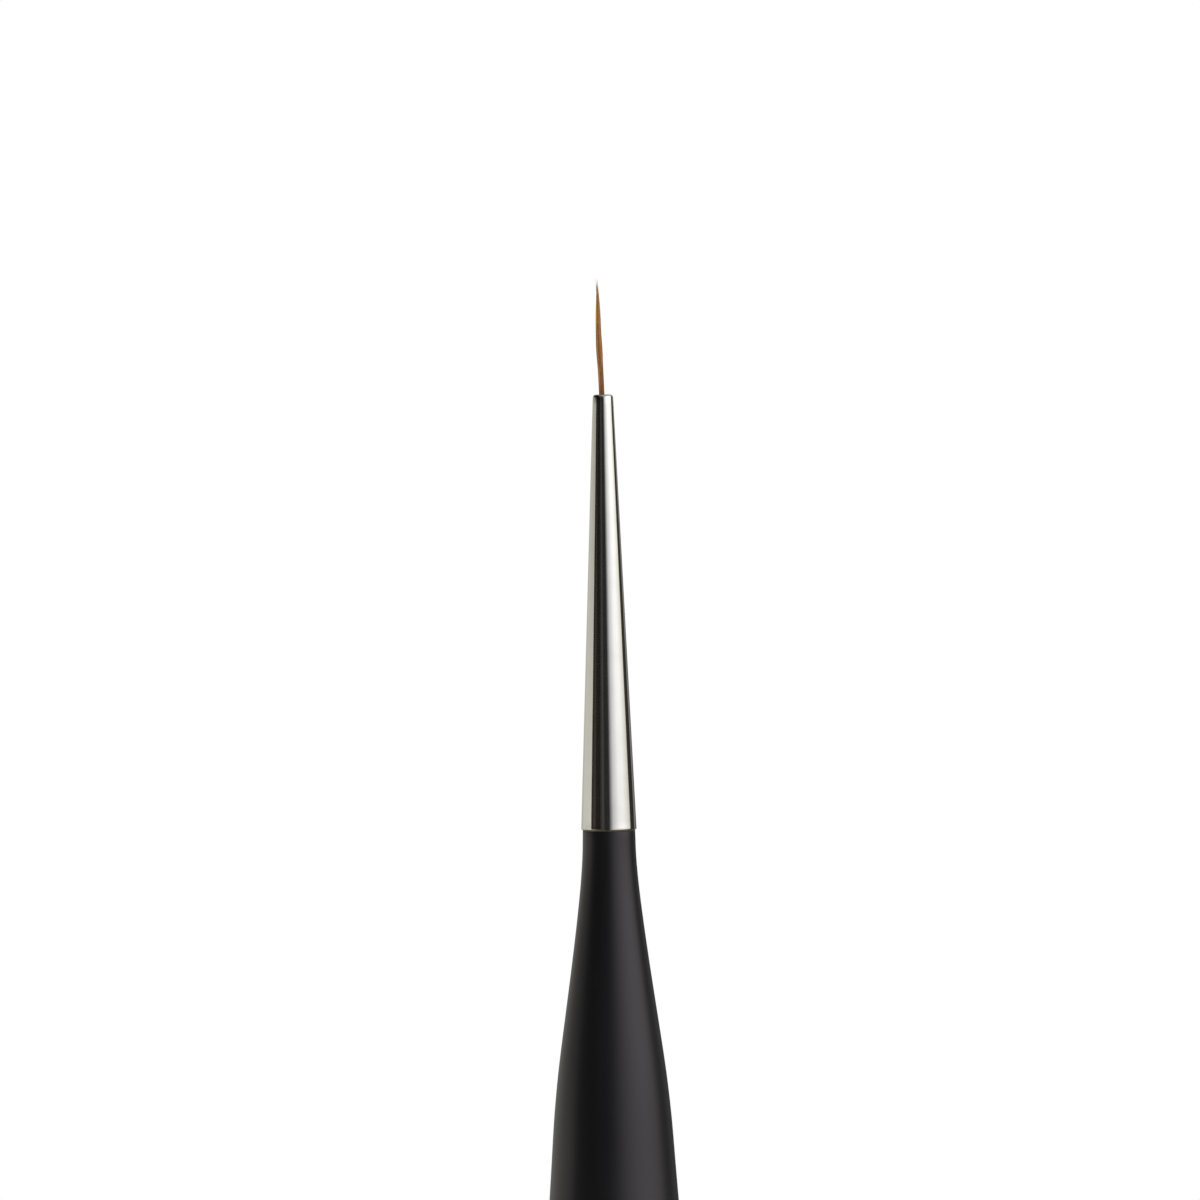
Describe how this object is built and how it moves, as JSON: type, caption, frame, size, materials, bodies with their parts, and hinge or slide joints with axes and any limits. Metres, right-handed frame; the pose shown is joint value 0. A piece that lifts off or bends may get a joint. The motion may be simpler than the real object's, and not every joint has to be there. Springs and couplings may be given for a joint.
{
  "type": "fine detail brush",
  "caption": "Fine round detail brush: slim pointed hair tuft on a sprung bend joint, long tapered plated ferrule, black lacquered wooden handle swelling to a rounded grip.",
  "frame": {"origin": "on the brush's axis, in the middle of the grip, which is the widest stretch of the handle", "axes": "+Z along the brush from the grip to the point of the hair; the hair leans slightly towards -X and bends about +Y"},
  "size_m": [0.01, 0.01, 0.175],
  "materials": {
    "handle_wood": "matte",
    "handle_lacquer": "satin",
    "ferrule": "polished",
    "ferrule_glue": "gloss",
    "hair_cement": "gloss",
    "binding_thread": "matte",
    "hair": "satin"
  },
  "bodies": {
    "brush": {"handle_wood": "handle_wood", "handle_lacquer": "handle_lacquer", "ferrule": "ferrule", "ferrule_glue": "ferrule_glue", "hair_cement": "hair_cement", "binding_thread": "binding_thread", "hair_roots": "hair"},
    "tuft": {"centre_hair": "hair", "inner_hair_01": "hair", "inner_hair_02": "hair", "inner_hair_03": "hair", "inner_hair_04": "hair", "inner_hair_05": "hair", "inner_hair_06": "hair", "middle_hair_01": "hair", "middle_hair_02": "hair", "middle_hair_03": "hair", "middle_hair_04": "hair", "middle_hair_05": "hair", "middle_hair_06": "hair", "middle_hair_07": "hair", "middle_hair_08": "hair", "middle_hair_09": "hair", "middle_hair_10": "hair", "middle_hair_11": "hair", "middle_hair_12": "hair", "outer_hair_01": "hair", "outer_hair_02": "hair", "outer_hair_03": "hair", "outer_hair_04": "hair", "outer_hair_05": "hair", "outer_hair_06": "hair", "outer_hair_07": "hair", "outer_hair_08": "hair", "outer_hair_09": "hair", "outer_hair_10": "hair", "outer_hair_11": "hair", "outer_hair_12": "hair", "outer_hair_13": "hair", "outer_hair_14": "hair", "outer_hair_15": "hair", "outer_hair_16": "hair", "outer_hair_17": "hair", "outer_hair_18": "hair"}
  },
  "joints": [
    {"name": "tuft_flex", "type": "hinge", "parent": "brush", "child": "tuft", "pos_m": [-0.00008, 0, 0.0676], "axis": [0, 1, 0], "range_deg": [-45, 45], "stiffness_Nm_per_rad": 0.00002}
  ]
}
